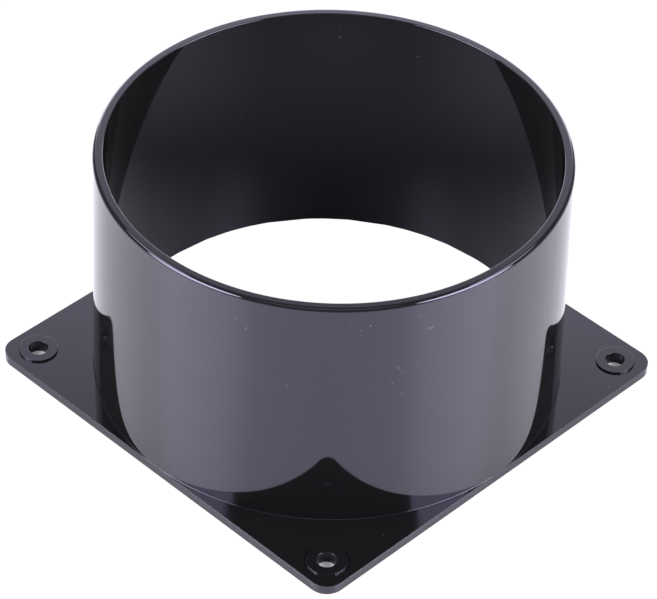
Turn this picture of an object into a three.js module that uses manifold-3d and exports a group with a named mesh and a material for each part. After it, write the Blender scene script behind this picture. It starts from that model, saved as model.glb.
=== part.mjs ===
// A square-plate duct flange with a long round spigot, in millimetres, +Z up.
// The origin is the centre of the square on the underside of the plate, so the part stands on z = 0.
// The spigot is as wide as the plate: its wall meets the middle of each of the four sides flush.

import * as THREE from "three";
import { mergeVertices } from "three/addons/utils/BufferGeometryUtils.js";
import Module from "manifold-3d";

const wasm = await Module();
wasm.setup();

// Driving dimensions.
const PLATE_SIDE = 120;
const PLATE_THICKNESS = 2.8;
const CORNER_RADIUS = 5;
const OVERALL_HEIGHT = 70;

const SCREW_SPACING = 105; // centre to centre along each side of the square
const SCREW_HOLE_RADIUS = 2.5;
const PAD_RADIUS = 5;
const PAD_HEIGHT = 0.5;
const PAD_BEVEL = 0.1;

const FOOT_RADIUS = PLATE_SIDE / 2; // outside of the spigot where it stands on the plate
const RIM_RADIUS = 59.1; // outside of the spigot at its open end, less by the moulding draft
const RIM_WALL = 2.6;
const RIM_ROUNDING = 1.2;
const BORE_RADIUS_RIM = RIM_RADIUS - RIM_WALL;
const BORE_RADIUS_BELOW = 58.3; // the bore widens downwards by its own draft
const ROOT_FILLET = 0.3;

// How finely round shapes are divided.
const ROUND_SEGMENTS = 128;
const HOLE_SEGMENTS = 32;
const CORNER_SEGMENTS = 6;
const ROUNDING_SEGMENTS = 4;

const CUTTER_OVERRUN = 1; // how far a cutter reaches past each face that it cuts

const BLACK_ABS = { color: 0x0b0a0d, roughness: 0.12, metalness: 0 };

// Radius of the drafted bore at height z.
function boreRadius(z) {
  return THREE.MathUtils.lerp(BORE_RADIUS_BELOW, BORE_RADIUS_RIM, z / OVERALL_HEIGHT);
}

// The solid of a closed geometry, for joining and cutting.
function toSolid(geometry) {
  const bare = geometry.index ? geometry.toNonIndexed() : geometry.clone();
  bare.deleteAttribute("normal");
  bare.deleteAttribute("uv");
  const merged = mergeVertices(bare, 1e-4);
  return new wasm.Manifold(
    new wasm.Mesh({
      numProp: 3,
      vertProperties: merged.attributes.position.array,
      triVerts: new Uint32Array(merged.index.array),
    }),
  );
}

// The geometry of a solid, ready for a mesh.
function toGeometry(solid) {
  const { vertProperties, triVerts } = solid.getMesh();
  const geometry = new THREE.BufferGeometry();
  geometry.setAttribute("position", new THREE.BufferAttribute(vertProperties, 3));
  geometry.setIndex(new THREE.BufferAttribute(triVerts, 1));
  geometry.computeVertexNormals();
  return geometry;
}

function makeMesh(name, geometry) {
  const mesh = new THREE.Mesh(geometry, new THREE.MeshStandardMaterial(BLACK_ABS));
  mesh.name = name;
  return mesh;
}

// A shape turned about Z. Its profile is (radius, height) pairs, and closes on its first one.
function turned(profile, segments) {
  const points = [...profile, profile[0]].map(([radius, z]) => new THREE.Vector2(radius, z));
  return new THREE.LatheGeometry(points, segments).rotateX(Math.PI / 2);
}

// Part of a circle in a turned profile, as (radius, height) pairs between two angles.
function arc(centreRadius, centreZ, arcRadius, startAngle, endAngle) {
  const pairs = [];
  for (let i = 0; i <= ROUNDING_SEGMENTS; i++) {
    const angle = THREE.MathUtils.lerp(startAngle, endAngle, i / ROUNDING_SEGMENTS);
    pairs.push([
      centreRadius + arcRadius * Math.cos(angle),
      centreZ + arcRadius * Math.sin(angle),
    ]);
  }
  return pairs;
}

// A prism on z = 0 with the plate's outline: a square with rounded corners.
function platePrism(height) {
  const middles = PLATE_SIDE / 2 - CORNER_RADIUS; // the corner arcs' centres, on each axis
  const outline = new THREE.Shape();
  outline.absarc(middles, middles, CORNER_RADIUS, 0, Math.PI / 2);
  outline.absarc(-middles, middles, CORNER_RADIUS, Math.PI / 2, Math.PI);
  outline.absarc(-middles, -middles, CORNER_RADIUS, Math.PI, 1.5 * Math.PI);
  outline.absarc(middles, -middles, CORNER_RADIUS, 1.5 * Math.PI, 2 * Math.PI);
  return new THREE.ExtrudeGeometry(outline, {
    depth: height,
    bevelEnabled: false,
    curveSegments: CORNER_SEGMENTS,
  });
}

// The four corners of the screw square, with a name for each.
function screwPlaces() {
  const reach = SCREW_SPACING / 2;
  return [
    { corner: "front_left", x: -reach, y: -reach },
    { corner: "front_right", x: reach, y: -reach },
    { corner: "back_right", x: reach, y: reach },
    { corner: "back_left", x: -reach, y: reach },
  ];
}

// The flat square plate, with the bore through its middle and a screw hole in each corner.
function mountingPlate() {
  const bottom = -CUTTER_OVERRUN;
  const top = PLATE_THICKNESS + CUTTER_OVERRUN;
  const bore = turned(
    [
      [0, bottom],
      [boreRadius(bottom), bottom],
      [boreRadius(top), top],
      [0, top],
    ],
    ROUND_SEGMENTS,
  );
  let plate = toSolid(platePrism(PLATE_THICKNESS)).subtract(toSolid(bore));
  for (const { x, y } of screwPlaces()) {
    const hole = turned(
      [
        [0, bottom],
        [SCREW_HOLE_RADIUS, bottom],
        [SCREW_HOLE_RADIUS, top],
        [0, top],
      ],
      HOLE_SEGMENTS,
    ).translate(x, y, 0);
    plate = plate.subtract(toSolid(hole));
  }
  return makeMesh("mounting_plate", toGeometry(plate));
}

// The tapered tube that stands on the plate. A small fillet rounds its root, and the plate's
// outline trims that fillet where the tube reaches the sides.
function spigotTube() {
  const foot = PLATE_THICKNESS;
  const filletCentre = FOOT_RADIUS + ROOT_FILLET;
  const rimCentre = RIM_RADIUS - RIM_ROUNDING;
  const tube = turned(
    [
      [boreRadius(foot), foot],
      ...arc(filletCentre, foot + ROOT_FILLET, ROOT_FILLET, 1.5 * Math.PI, Math.PI),
      ...arc(rimCentre, OVERALL_HEIGHT - RIM_ROUNDING, RIM_ROUNDING, 0, Math.PI / 2),
      [BORE_RADIUS_RIM, OVERALL_HEIGHT],
    ],
    ROUND_SEGMENTS,
  );
  const envelope = platePrism(OVERALL_HEIGHT).translate(0, 0, foot);
  return makeMesh("spigot_tube", toGeometry(toSolid(tube).intersect(toSolid(envelope))));
}

// A low round seat for a screw head, with its hole in line with the one in the plate.
function screwPad(corner) {
  const pad = turned(
    [
      [SCREW_HOLE_RADIUS, 0],
      [PAD_RADIUS, 0],
      [PAD_RADIUS, PAD_HEIGHT - PAD_BEVEL],
      [PAD_RADIUS - PAD_BEVEL, PAD_HEIGHT],
      [SCREW_HOLE_RADIUS, PAD_HEIGHT],
    ],
    HOLE_SEGMENTS,
  );
  return makeMesh(`screw_pad_${corner}`, pad);
}

// The four pads, each placed on the plate's upper face.
function screwPads() {
  const pads = new THREE.Group();
  for (const { corner, x, y } of screwPlaces()) {
    const pad = screwPad(corner);
    pad.position.set(x, y, PLATE_THICKNESS);
    pads.add(pad);
  }
  return pads;
}

const flange = new THREE.Group();
flange.add(mountingPlate(), spigotTube(), screwPads());

export default flange;
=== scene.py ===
"""A square-plate duct flange in glossy black ABS, on a pale floor under soft studio light.

Metres, +Z up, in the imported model's frame. Each CAD node is replaced by a finely turned or moulded
surface with the same size and place.
"""

import math

import bmesh
import bpy
from mathutils import Matrix, Vector
from mathutils.geometry import delaunay_2d_cdt


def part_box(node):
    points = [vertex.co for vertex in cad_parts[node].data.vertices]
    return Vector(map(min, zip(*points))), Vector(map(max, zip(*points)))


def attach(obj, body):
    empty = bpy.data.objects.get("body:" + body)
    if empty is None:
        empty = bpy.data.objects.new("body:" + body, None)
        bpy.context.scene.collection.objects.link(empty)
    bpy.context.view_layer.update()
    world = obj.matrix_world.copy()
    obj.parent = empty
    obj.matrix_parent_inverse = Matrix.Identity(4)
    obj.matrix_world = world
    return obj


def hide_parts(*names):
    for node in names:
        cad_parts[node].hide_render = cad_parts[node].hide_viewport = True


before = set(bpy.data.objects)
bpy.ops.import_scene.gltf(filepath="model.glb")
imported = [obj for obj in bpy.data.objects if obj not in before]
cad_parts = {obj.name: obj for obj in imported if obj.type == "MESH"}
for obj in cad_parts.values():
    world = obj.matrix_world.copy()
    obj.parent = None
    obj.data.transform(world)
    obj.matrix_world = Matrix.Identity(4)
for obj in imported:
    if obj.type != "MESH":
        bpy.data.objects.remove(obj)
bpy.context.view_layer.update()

MM = 0.001
SLOT = "gloss_black_abs"

# Sizes read from the frame.
plate_low, plate_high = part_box("mounting_plate")
HALF_SIDE = plate_high.x
PLATE_TOP = plate_high.z
RIM_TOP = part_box("spigot_tube")[1].z
PAD_NODES = [name for name in sorted(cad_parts) if name.startswith("screw_pad")]
pad_low, pad_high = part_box(PAD_NODES[0])
SCREW_REACH = abs(pad_low.x + pad_high.x) / 2

# Sizes of the moulding that a box doesn't give.
CORNER_RADIUS = 5 * MM
RIM_RADIUS = 59.1 * MM
BORE_RADIUS_RIM = 56.5 * MM
BORE_RADIUS_BELOW = 58.3 * MM
SCREW_HOLE_RADIUS = 2.5 * MM

# Roundings of the moulding's edges.
ROOT_FILLET = 0.2 * MM
RIM_OUTER_ROUNDING = 1.0 * MM
RIM_INNER_ROUNDING = 0.3 * MM
PLATE_TOP_ROUNDING = 0.06 * MM
PLATE_BOTTOM_ROUNDING = 0.35 * MM
BORE_EDGE_ROUNDING = 0.1 * MM
HOLE_EDGE_ROUNDING = 0.1 * MM
PAD_TOP_ROUNDING = 0.08 * MM
PAD_ROOT_FILLET = 0.05 * MM

# The plate's upper edge is sharp where the tube's wall runs down into the side, and rounds off past it.
LEAST_ROUNDING = 0.01 * MM
FLUSH_HALF_LENGTH = 10 * MM
FLUSH_FADE = 3 * MM

# How finely round shapes are divided.
TUBE_SEGMENTS = 384
HOLE_SEGMENTS = 72
CORNER_STEPS = 16
SIDE_STEPS = 60
WALL_STEPS = 24
ROUNDING_STEPS = 8
LEAST_STEP = 0.001 * MM  # points of a profile that are closer than this are one point


# ---------------------------------------------------------------- profiles
# A profile is a list of (radius, z, normal radius, normal z), to be turned about a vertical line.


def bore_radius(z):
    """Radius of the drafted bore at height z."""
    return BORE_RADIUS_BELOW + (BORE_RADIUS_RIM - BORE_RADIUS_BELOW) * z / RIM_TOP


def arc(centre, radius, start, end, hollow=False):
    """Profile of a rounded edge, or of a hollow fillet, between two angles in degrees."""
    facing = -1 if hollow else 1
    profile = []
    for step in range(ROUNDING_STEPS + 1):
        angle = math.radians(start + (end - start) * step / ROUNDING_STEPS)
        across, up = math.cos(angle), math.sin(angle)
        position = (centre[0] + radius * across, centre[1] + radius * up)
        profile.append((*position, facing * across, facing * up))
    return profile


def wall(start, end, facing):
    """Profile of a straight wall. It faces away from the turning line if facing is 1, else towards it."""
    along = Vector(end) - Vector(start)
    normal = facing * Vector((abs(along.y), -along.x * math.copysign(1, along.y))).normalized()
    profile = []
    for step in range(WALL_STEPS + 1):
        position = Vector(start) + along * step / WALL_STEPS
        profile.append((*position, *normal))
    return profile


# ---------------------------------------------------------------- meshes

# Settings of the triangulation that fills the plate's flat faces.
INSIDE_ONLY = 1
MERGE_DISTANCE = 1e-9


class Surface:
    """Gathers rings of vertices with normals, and the faces between them."""

    def __init__(self):
        self.vertices = []
        self.normals = []
        self.faces = []
        self.flat_faces = set()

    def ring(self, points):
        """Adds (position, normal) pairs as one closed ring. Returns the indices of its vertices."""
        first = len(self.vertices)
        for position, normal in points:
            self.vertices.append(position)
            self.normals.append(normal)
        return list(range(first, len(self.vertices)))

    def join(self, lower, upper, flat=False):
        """Adds the band of faces between two rings."""
        count = len(lower)
        for i in range(count):
            j = (i + 1) % count
            if flat:
                self.flat_faces.add(len(self.faces))
            self.faces.append((lower[i], lower[j], upper[j], upper[i]))

    def fill(self, outer, holes, is_solid):
        """Adds the flat face inside the outer ring, except where is_solid(point) is false."""
        used = outer + [index for hole in holes for index in hole]
        order = {index: k for k, index in enumerate(used)}
        edges = []
        for ring in [outer, *holes]:
            edges += [(order[a], order[b]) for a, b in zip(ring, ring[1:] + ring[:1])]
        points = [self.vertices[index].xy for index in used]
        triangles, origins = delaunay_2d_cdt(points, edges, [], INSIDE_ONLY, MERGE_DISTANCE)[2:4]
        for triangle in triangles:
            corners = [used[origins[k][0]] for k in triangle]
            middle = sum((self.vertices[k].xy for k in corners), Vector((0, 0))) / 3
            if is_solid(middle):
                self.flat_faces.add(len(self.faces))
                self.faces.append(tuple(corners))

    def turn(self, profile, segments, centre=Vector((0, 0)), trim=False):
        """Adds a profile turned about the vertical line through centre. Returns its rings.

        A point in the same place as the one before it is left out. With trim, what would pass the
        plate's square is flattened against its sides.
        """
        rings = []
        place = None
        for radius, z, normal_radius, normal_z in profile:
            if place and math.dist(place, (radius, z)) < LEAST_STEP:
                continue
            place = (radius, z)
            points = []
            for i in range(segments):
                angle = 2 * math.pi * i / segments
                across = Vector((math.cos(angle), math.sin(angle)))
                distance, normal = radius, across * normal_radius
                side = side_normal(angle)
                if trim and radius * across.dot(side) > HALF_SIDE:
                    distance, normal = HALF_SIDE / across.dot(side), side
                plan = centre.xy + across * distance
                points.append((Vector((*plan, z)), Vector((*normal, normal_z))))
            rings.append(self.ring(points))
        for lower, upper in zip(rings, rings[1:]):
            self.join(lower, upper)
        return rings

    def make_piece(self, name, node):
        """Turns the surface into an object that replaces a CAD node."""
        mesh = bpy.data.meshes.new(name)
        mesh.from_pydata(self.vertices, [], self.faces)
        shape = bmesh.new()
        shape.from_mesh(mesh)
        bmesh.ops.recalc_face_normals(shape, faces=shape.faces)
        shape.to_mesh(mesh)
        shape.free()
        mesh.shade_smooth()
        corner_normals = [None] * len(mesh.loops)
        for polygon in mesh.polygons:
            flat = polygon.index in self.flat_faces
            for corner in polygon.loop_indices:
                vertex = mesh.loops[corner].vertex_index
                corner_normals[corner] = polygon.normal if flat else self.normals[vertex]
        mesh.normals_split_custom_set(corner_normals)
        piece = bpy.data.objects.new(name, mesh)
        bpy.context.scene.collection.objects.link(piece)
        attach(piece, "root")
        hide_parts(node)
        return piece


def side_normal(angle):
    """Outward normal of the square's side that lies in this direction."""
    quarter = math.pi / 2 * round(angle / (math.pi / 2))
    return Vector((math.cos(quarter), math.sin(quarter)))


# ---------------------------------------------------------------- the pieces


def spigot():
    """The tapered tube: bore, rim, outer wall and root fillet as one turned surface."""
    inner_edge = (BORE_RADIUS_RIM + RIM_INNER_ROUNDING, RIM_TOP - RIM_INNER_ROUNDING)
    outer_edge = (RIM_RADIUS - RIM_OUTER_ROUNDING, RIM_TOP - RIM_OUTER_ROUNDING)
    root = (HALF_SIDE + ROOT_FILLET, PLATE_TOP + ROOT_FILLET)
    profile = [
        *wall((bore_radius(PLATE_TOP), PLATE_TOP), (BORE_RADIUS_RIM, inner_edge[1]), -1),
        *arc(inner_edge, RIM_INNER_ROUNDING, 180, 90),
        *arc(outer_edge, RIM_OUTER_ROUNDING, 90, 0),
        *wall((RIM_RADIUS, outer_edge[1]), (HALF_SIDE, root[1]), 1),
        *arc(root, ROOT_FILLET, 180, 270, hollow=True),
    ]
    surface = Surface()
    rings = surface.turn(profile, TUBE_SEGMENTS, trim=True)
    surface.join(rings[-1], rings[0], flat=True)
    return surface.make_piece("spigot", "spigot_tube")


def screw_pad(node):
    """A raised round seat with softly rounded edges and its screw hole."""
    low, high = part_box(node)
    radius = (high.x - low.x) / 2
    hole_edge = (SCREW_HOLE_RADIUS + HOLE_EDGE_ROUNDING, high.z - HOLE_EDGE_ROUNDING)
    top_edge = (radius - PAD_TOP_ROUNDING, high.z - PAD_TOP_ROUNDING)
    root = (radius + PAD_ROOT_FILLET, low.z + PAD_ROOT_FILLET)
    profile = [
        (SCREW_HOLE_RADIUS, low.z, -1, 0),
        *arc(hole_edge, HOLE_EDGE_ROUNDING, 180, 90),
        *arc(top_edge, PAD_TOP_ROUNDING, 90, 0),
        *arc(root, PAD_ROOT_FILLET, 180, 270, hollow=True),
    ]
    surface = Surface()
    rings = surface.turn(profile, HOLE_SEGMENTS, (low + high) / 2)
    surface.join(rings[-1], rings[0], flat=True)
    return surface.make_piece(node.replace("screw_pad", "pad"), node)


def square_outline():
    """The plate's outline as (point, outward normal) pairs, with a round arc at each corner."""
    outline = []
    middle = HALF_SIDE - CORNER_RADIUS
    for corner in range(4):
        turn = Matrix.Rotation(corner * math.pi / 2, 2)
        for step in range(SIDE_STEPS):
            along = middle * (2 * step / SIDE_STEPS - 1)
            outline.append((turn @ Vector((HALF_SIDE, along)), turn @ Vector((1, 0))))
        for step in range(CORNER_STEPS):
            angle = math.pi / 2 * step / CORNER_STEPS
            normal = Vector((math.cos(angle), math.sin(angle)))
            outline.append((turn @ (Vector((middle, middle)) + CORNER_RADIUS * normal), turn @ normal))
    return outline


def top_rounding(point):
    """Radius of the plate's upper edge at this point of its outline."""
    past_flush = (min(abs(point.x), abs(point.y)) - FLUSH_HALF_LENGTH) / FLUSH_FADE
    share = min(1, max(0, past_flush))
    smooth = share * share * (3 - 2 * share)
    return LEAST_ROUNDING + (PLATE_TOP_ROUNDING - LEAST_ROUNDING) * smooth


def bottom_rounding(point):
    """Radius of the plate's lower edge, which is the same all round."""
    return PLATE_BOTTOM_ROUNDING


def rounded_edge(surface, rounding, centre_z, start, end):
    """Adds rings round the plate's outline between two angles of its edge. Returns the rings.

    centre_z(radius) is the height of the rounding's centre.
    """
    rings = []
    for step in range(ROUNDING_STEPS + 1):
        angle = math.radians(start + (end - start) * step / ROUNDING_STEPS)
        out, up = math.cos(angle), math.sin(angle)
        points = []
        for point, normal in square_outline():
            radius = rounding(point)
            plan = point - normal * radius * (1 - out)
            height = centre_z(radius) + radius * up
            points.append((Vector((*plan, height)), Vector((*(normal * out), up))))
        rings.append(surface.ring(points))
    return rings


def plate():
    """The square plate, with its rounded edges, its bore and its four screw holes."""
    surface = Surface()
    edge = [
        *rounded_edge(surface, bottom_rounding, lambda radius: radius, -90, 0),
        *rounded_edge(surface, top_rounding, lambda radius: PLATE_TOP - radius, 0, 90),
    ]
    for lower, upper in zip(edge, edge[1:]):
        surface.join(lower, upper)

    bore_edge = (BORE_RADIUS_BELOW + BORE_EDGE_ROUNDING, BORE_EDGE_ROUNDING)
    bore_profile = [
        *arc(bore_edge, BORE_EDGE_ROUNDING, 270, 180),
        (bore_radius(PLATE_TOP), PLATE_TOP, -1, 0),
    ]
    hole_edge = (SCREW_HOLE_RADIUS + HOLE_EDGE_ROUNDING, HOLE_EDGE_ROUNDING)
    hole_profile = [
        *arc(hole_edge, HOLE_EDGE_ROUNDING, 270, 180),
        (SCREW_HOLE_RADIUS, PLATE_TOP, -1, 0),
    ]
    screw_places = [((low + high) / 2).xy for low, high in map(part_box, PAD_NODES)]
    openings = [surface.turn(bore_profile, TUBE_SEGMENTS)]
    for place in screw_places:
        openings.append(surface.turn(hole_profile, HOLE_SEGMENTS, place))

    def is_solid(point):
        """Whether this point of the plate's plan is outside all five openings."""
        in_hole = any((point - place).length < SCREW_HOLE_RADIUS for place in screw_places)
        return point.length > bore_radius(PLATE_TOP) and not in_hole

    surface.fill(edge[0], [rings[0] for rings in openings], is_solid)
    surface.fill(edge[-1], [rings[-1] for rings in openings], is_solid)
    return surface.make_piece("plate", "mounting_plate")


# ---------------------------------------------------------------- material

# The plastic. Its gloss is faintly violet face on and neutral at a glancing angle.
PLASTIC_COLOUR = (0.0052, 0.0047, 0.0047, 1)
PLASTIC_IOR = 1.54
GLOSS_LEVEL = 0.58
GLOSS_TINT = (0.775, 0.765, 0.99, 1)

# Roughness of the polish from its clearest to its haziest places, and of the marks on it.
POLISH_ROUGHNESS = (0.03, 0.07)
DRAW_MARK_ROUGHNESS = 0.03
SMUDGE_ROUGHNESS = 0.12
DUST_ROUGHNESS = 0.6

# The surface's relief, and the shares of it that draw marks and dust have.
RELIEF = 0.03 * MM
DRAW_MARK_RELIEF = 0.03
DUST_RELIEF = 0.6

# How fine each pattern is, in waves or cells per metre.
HAZE_SCALE = 45
WAVE_SCALE = 38
DRAW_MARK_SCALES = (420, 420, 9)
SPECK_SCALE = 800
FIBRE_SCALE = 210
FIBRE_BREAK_SCALE = 330

# The values of a pattern between which its mark grows from nothing to full.
HAZE_RANGE = (0.4, 0.75)
DRAW_MARK_RANGE = (0.3, 0.8)
SPECK_RANGE = (0.22, 0.08)
COMMON_SPECK_RANGE = (0.72, 0.78)
STRAY_SPECK_RANGE = (0.994, 0.997)
FIBRE_RANGE = (0.03, 0.01)
FIBRE_BREAK_RANGE = (0.58, 0.66)

# How strongly the dust shows.
DUST_COLOUR = (0.2, 0.2, 0.2, 1)
DUST_STRENGTH = 0.45
STRAY_SPECK_SHARE = 0.6
FIBRE_SHARE = 0.4


def around_axis(azimuth, radius, height):
    """A point of the flange. Azimuth 0 faces -Y and 90 faces +X, in degrees, and sizes are in mm."""
    turn = math.radians(azimuth)
    return Vector((radius * math.sin(turn), -radius * math.cos(turn), height)) * MM


# Where dust has settled and fingers have been, as (point, reach in mm).
DUSTY_PLACES = [
    (around_axis(24, 59.2, 61), 4),
    (around_axis(47, 59.2, 63), 6),
    (around_axis(53, 59.2, 66), 5),
    (around_axis(66, 59.2, 62), 6),
    (around_axis(60, 59.4, 48), 9),
    (around_axis(12, 72, 2.8), 4),
    (around_axis(223, 56.6, 65), 6),
]
SMUDGED_PLACES = [
    (around_axis(9, 59.2, 62), 6),
    (around_axis(20, 59.8, 20), 5),
    (around_axis(50, 69, 2.8), 6),
]
FULL_SHARE = 0.3  # the share of its reach within which a place has its full effect


def new_node(tree, kind, **settings):
    """Adds a node. Each setting is the value of the input that has its name, or else an attribute."""
    node = tree.nodes.new(kind)
    for name, value in settings.items():
        title = name.replace("_", " ").title()
        if title in node.inputs:
            node.inputs[title].default_value = value
        else:
            setattr(node, name, value)
    return node


def noise(tree, vector, scale, detail=2.0, roughness=0.5):
    """Smooth noise, with its scale in waves per metre."""
    node = new_node(tree, "ShaderNodeTexNoise", scale=scale, detail=detail, roughness=roughness)
    tree.links.new(vector, node.inputs["Vector"])
    return node.outputs["Fac"]


def stretch(tree, vector, scale):
    """Coordinates with a scale of their own along each axis."""
    node = new_node(tree, "ShaderNodeMapping", scale=scale)
    tree.links.new(vector, node.inputs["Vector"])
    return node.outputs["Vector"]


def ramp(tree, value, start, end, low=0.0, high=1.0):
    """value brought from the range start to end into low to high, with soft ends."""
    node = tree.nodes.new("ShaderNodeMapRange")
    node.interpolation_type = "SMOOTHSTEP"
    tree.links.new(value, node.inputs["Value"])
    settings = {"From Min": start, "From Max": end, "To Min": low, "To Max": high}
    for name, number in settings.items():
        node.inputs[name].default_value = number
    return node.outputs["Result"]


def combine(tree, operation, first, second=0.0):
    """Arithmetic on one or two values, each an output or a number."""
    node = new_node(tree, "ShaderNodeMath", operation=operation)
    for value, socket in zip((first, second), node.inputs):
        if isinstance(value, (int, float)):
            socket.default_value = value
        else:
            tree.links.new(value, socket)
    return node.outputs[0]


def near_places(tree, place, places):
    """1 close to any of the places, fading to 0 at its reach. Each is (point, reach in mm)."""
    nearest = 0.0
    for point, reach in places:
        apart = new_node(tree, "ShaderNodeVectorMath", operation="DISTANCE")
        tree.links.new(place, apart.inputs[0])
        apart.inputs[1].default_value = point
        near = ramp(tree, apart.outputs["Value"], reach * MM, FULL_SHARE * reach * MM)
        nearest = combine(tree, "MAXIMUM", nearest, near)
    return nearest


def dust_mask(tree, place):
    """Pale specks and short curled fibres, mostly where dust has settled."""
    settled = near_places(tree, place, DUSTY_PLACES)
    specks = new_node(tree, "ShaderNodeTexVoronoi", scale=SPECK_SCALE)
    tree.links.new(place, specks.inputs["Vector"])
    chance = tree.nodes.new("ShaderNodeSeparateColor")
    tree.links.new(specks.outputs["Color"], chance.inputs["Color"])
    speck = ramp(tree, specks.outputs["Distance"], *SPECK_RANGE)
    common = ramp(tree, chance.outputs["Red"], *COMMON_SPECK_RANGE)
    common = combine(tree, "MULTIPLY", common, settled)
    stray = ramp(tree, chance.outputs["Green"], *STRAY_SPECK_RANGE)
    stray = combine(tree, "MULTIPLY", stray, STRAY_SPECK_SHARE)
    speck = combine(tree, "MULTIPLY", speck, combine(tree, "MAXIMUM", common, stray))

    fibres = new_node(tree, "ShaderNodeTexVoronoi", feature="DISTANCE_TO_EDGE", scale=FIBRE_SCALE)
    tree.links.new(place, fibres.inputs["Vector"])
    fibre = ramp(tree, fibres.outputs["Distance"], *FIBRE_RANGE)
    broken = ramp(tree, noise(tree, place, FIBRE_BREAK_SCALE), *FIBRE_BREAK_RANGE)
    fibre = combine(tree, "MULTIPLY", combine(tree, "MULTIPLY", fibre, broken), settled)
    fibre = combine(tree, "MULTIPLY", fibre, FIBRE_SHARE)
    return combine(tree, "MULTIPLY", combine(tree, "MAXIMUM", speck, fibre), DUST_STRENGTH)


def gloss_black_abs():
    """Polished black ABS: near-black, mirror-like, slightly wavy, with handling haze and light dust."""
    material = bpy.data.materials.new(SLOT)
    material.use_nodes = True
    tree = material.node_tree
    shader = tree.nodes["Principled BSDF"]
    shader.inputs["IOR"].default_value = PLASTIC_IOR
    shader.inputs["Specular IOR Level"].default_value = GLOSS_LEVEL
    shader.inputs["Specular Tint"].default_value = GLOSS_TINT

    place = tree.nodes.new("ShaderNodeTexCoord").outputs["Object"]
    dust = dust_mask(tree, place)
    smudge = near_places(tree, place, SMUDGED_PLACES)
    haze = ramp(tree, noise(tree, place, HAZE_SCALE, detail=4), *HAZE_RANGE, *POLISH_ROUGHNESS)
    draw_marks = noise(tree, stretch(tree, place, DRAW_MARK_SCALES), 1.0, detail=3)

    colour = new_node(tree, "ShaderNodeMix", data_type="RGBA")
    colour.inputs["A"].default_value = PLASTIC_COLOUR
    colour.inputs["B"].default_value = DUST_COLOUR
    tree.links.new(dust, colour.inputs["Factor"])
    tree.links.new(colour.outputs["Result"], shader.inputs["Base Color"])

    marks = ramp(tree, draw_marks, *DRAW_MARK_RANGE, 0, DRAW_MARK_ROUGHNESS)
    rough = combine(tree, "ADD", haze, marks)
    rough = combine(tree, "ADD", rough, combine(tree, "MULTIPLY", smudge, SMUDGE_ROUGHNESS))
    rough = combine(tree, "MAXIMUM", rough, combine(tree, "MULTIPLY", dust, DUST_ROUGHNESS))
    tree.links.new(rough, shader.inputs["Roughness"])

    height = combine(tree, "MULTIPLY", draw_marks, DRAW_MARK_RELIEF)
    height = combine(tree, "ADD", height, noise(tree, place, WAVE_SCALE, detail=1))
    height = combine(tree, "ADD", height, combine(tree, "MULTIPLY", dust, DUST_RELIEF))
    bump = new_node(tree, "ShaderNodeBump", strength=1.0, distance=RELIEF)
    tree.links.new(height, bump.inputs["Height"])
    tree.links.new(bump.outputs["Normal"], shader.inputs["Normal"])
    return material


# ---------------------------------------------------------------- studio

# The view: a long lens that looks down over the plate's near corner and leans slightly to one side.
CAMERA_AIM = Vector((-0.1, -0.1, 21.8)) * MM
CAMERA_AZIMUTH = 43.74
CAMERA_ELEVATION = 41.04
CAMERA_ROLL = 2.0
CAMERA_DISTANCE = 0.865
LENS_PER_SENSOR_WIDTH = 5.1866

# The colour of all the studio's light, and how brightly the room itself glows.
STUDIO_TINT = (0.95, 0.94, 1.03)
ROOM_GLOW = 0.25

# Satin paper. Where it shows it is plain white, except within a small radius under each screw hole.
FLOOR_HALF_SIZE = 6.0
FLOOR_GAP = 0.02 * MM
FLOOR_COLOUR = (0.82, 0.82, 0.82, 1)
FLOOR_ROUGHNESS = 0.3
PLAIN_WHITE = 1.02
SHADED_FLOOR_RADIUS = 4 * MM
# Under each screw hole only this small share of painted white glow lies over the floor's own shade.
SHADED_FLOOR_PAINTED_GLOW = 0.12

# Lamps on both sides of the camera, each with its outer end lowered, and dimmer ones higher up.
LAMP_DISTANCE = 0.7
SIDE_LAMP = {"elevation": 29, "tilt": -10, "size": (0.52, 0.42), "radiance": 14.4}
HIGH_LAMP = {"elevation": 53, "tilt": 0, "size": (0.34, 0.22), "radiance": 5.0}
TOP_LAMP = {"elevation": 66, "tilt": 0, "size": (0.5, 0.22), "radiance": 1.0}
SIDE_LAMP_AZIMUTH = 61
HIGH_LAMP_AZIMUTH = 102

# The backdrop's glow falls to about a third over each BACKDROP_FADE of height, and is held down near
# the floor.
BACKDROP_DISTANCE = 0.6
BACKDROP_WIDTH = 0.86
BACKDROP_HEIGHT = 1.0
BACKDROP_GLOW = 16.2
BACKDROP_MOST_GLOW = 5.5
BACKDROP_FADE = 0.22


def direction(azimuth, elevation):
    """Unit vector towards an azimuth and elevation in degrees. The camera's side has azimuth 0."""
    around, up = math.radians(CAMERA_AZIMUTH + azimuth), math.radians(elevation)
    return Vector((math.sin(around) * math.cos(up), -math.cos(around) * math.cos(up), math.sin(up)))


def look_at(thing, aim, back, distance, roll=0.0):
    """Puts a camera or lamp at a distance from aim, out along back, so that it faces aim."""
    facing = back.to_track_quat("Z", "Y").to_matrix() @ Matrix.Rotation(math.radians(roll), 3, "Z")
    thing.matrix_world = Matrix.Translation(aim + back * distance) @ facing.to_4x4()


def make_camera():
    """The scene's camera."""
    data = bpy.data.cameras.new("camera")
    data.lens = LENS_PER_SENSOR_WIDTH * data.sensor_width
    camera = bpy.data.objects.new("camera", data)
    bpy.context.scene.collection.objects.link(camera)
    look_at(camera, CAMERA_AIM, direction(0, CAMERA_ELEVATION), CAMERA_DISTANCE, CAMERA_ROLL)
    bpy.context.scene.camera = camera


def mirrored(lamp, side):
    """The settings of a lamp for its own side of the camera."""
    return {**lamp, "tilt": side * lamp["tilt"]}


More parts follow.
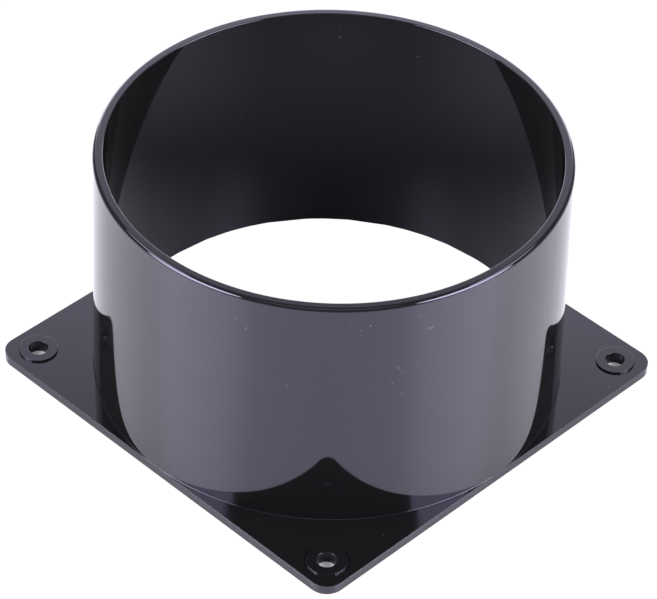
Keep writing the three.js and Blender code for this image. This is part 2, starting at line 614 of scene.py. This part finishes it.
def make_lamp(name, azimuth, elevation, tilt, size, radiance):
    """An oval studio lamp that faces the flange."""
    data = bpy.data.lights.new(name, "AREA")
    data.shape = "ELLIPSE"
    data.size, data.size_y = size
    data.energy = radiance * math.pi * (math.pi / 4 * size[0] * size[1])
    data.color = STUDIO_TINT
    lamp = bpy.data.objects.new(name, data)
    bpy.context.scene.collection.objects.link(lamp)
    look_at(lamp, Vector((0, 0, 0)), direction(azimuth, elevation), LAMP_DISTANCE, tilt)


def make_card(name, corners, material):
    """A flat rectangle of the studio."""
    mesh = bpy.data.meshes.new(name)
    mesh.from_pydata(corners, [], [(0, 1, 2, 3)])
    mesh.materials.append(material)
    card = bpy.data.objects.new(name, mesh)
    bpy.context.scene.collection.objects.link(card)
    return card


def floor_paper():
    """Satin white paper. Seen directly it is plain white, except in the shade under the screw holes,
    which has a small share of painted white glow over it.
    """
    paper = bpy.data.materials.new("floor_paper")
    paper.use_nodes = True
    tree = paper.node_tree
    satin = tree.nodes["Principled BSDF"]
    satin.inputs["Base Color"].default_value = FLOOR_COLOUR
    satin.inputs["Roughness"].default_value = FLOOR_ROUGHNESS
    white = new_node(tree, "ShaderNodeEmission", color=(1, 1, 1, 1), strength=PLAIN_WHITE)

    corner = new_node(tree, "ShaderNodeVectorMath", operation="ABSOLUTE")
    tree.links.new(tree.nodes.new("ShaderNodeTexCoord").outputs["Object"], corner.inputs[0])
    from_hole = new_node(tree, "ShaderNodeVectorMath", operation="DISTANCE")
    tree.links.new(corner.outputs["Vector"], from_hole.inputs[0])
    from_hole.inputs[1].default_value = (SCREW_REACH, SCREW_REACH, FLOOR_GAP)
    open_floor = combine(tree, "GREATER_THAN", from_hole.outputs["Value"], SHADED_FLOOR_RADIUS)
    # Share of the white glow: full on the open floor, and a small painted glow over the shade under the
    # screw holes.
    glow_share = combine(tree, "MAXIMUM", open_floor, SHADED_FLOOR_PAINTED_GLOW)
    is_seen = tree.nodes.new("ShaderNodeLightPath").outputs["Is Camera Ray"]
    share = combine(tree, "MULTIPLY", is_seen, glow_share)

    mix = tree.nodes.new("ShaderNodeMixShader")
    tree.links.new(share, mix.inputs["Fac"])
    tree.links.new(satin.outputs["BSDF"], mix.inputs[1])
    tree.links.new(white.outputs["Emission"], mix.inputs[2])
    tree.links.new(mix.outputs["Shader"], tree.nodes["Material Output"].inputs["Surface"])
    return paper


def backdrop_glow():
    """A glow that is strongest near the floor and fades with height."""
    material = bpy.data.materials.new("backdrop_glow")
    material.use_nodes = True
    tree = material.node_tree
    glow = new_node(tree, "ShaderNodeEmission", color=(*STUDIO_TINT, 1))
    split = tree.nodes.new("ShaderNodeSeparateXYZ")
    tree.links.new(tree.nodes.new("ShaderNodeTexCoord").outputs["Object"], split.inputs["Vector"])
    fall = combine(tree, "EXPONENT", combine(tree, "MULTIPLY", split.outputs["Z"], -1 / BACKDROP_FADE))
    strength = combine(tree, "MULTIPLY", fall, BACKDROP_GLOW)
    strength = combine(tree, "MINIMUM", strength, BACKDROP_MOST_GLOW)
    tree.links.new(strength, glow.inputs["Strength"])
    tree.links.new(glow.outputs["Emission"], tree.nodes["Material Output"].inputs["Surface"])
    return material


def make_studio():
    """A pale floor in a dim room, with a glowing backdrop, two lamps on each side and one overhead."""
    bpy.context.scene.view_settings.view_transform = "Standard"
    world = bpy.data.worlds.new("studio")
    world.use_nodes = True
    world.node_tree.nodes["Background"].inputs["Color"].default_value = (*STUDIO_TINT, 1)
    world.node_tree.nodes["Background"].inputs["Strength"].default_value = ROOM_GLOW
    bpy.context.scene.world = world

    half = FLOOR_HALF_SIZE
    floor = [(-half, -half), (half, -half), (half, half), (-half, half)]
    make_card("floor", [(x, y, -FLOOR_GAP) for x, y in floor], floor_paper())

    foot = direction(180, 0) * BACKDROP_DISTANCE
    across = direction(90, 0) * BACKDROP_WIDTH / 2
    rise = Vector((0, 0, BACKDROP_HEIGHT))
    corners = [foot - across, foot + across, foot + across + rise, foot - across + rise]
    backdrop = make_card("backdrop", corners, backdrop_glow())
    backdrop.visible_camera = False

    for side, name in ((-1, "left"), (1, "right")):
        make_lamp(f"lamp_{name}", side * SIDE_LAMP_AZIMUTH, **mirrored(SIDE_LAMP, side))
        make_lamp(f"high_lamp_{name}", side * HIGH_LAMP_AZIMUTH, **HIGH_LAMP)
    make_lamp("top_lamp", 0, **TOP_LAMP)


make_camera()
finish_material = gloss_black_abs()
for piece in [plate(), spigot(), *map(screw_pad, PAD_NODES)]:
    piece.data.materials.append(finish_material)
make_studio()
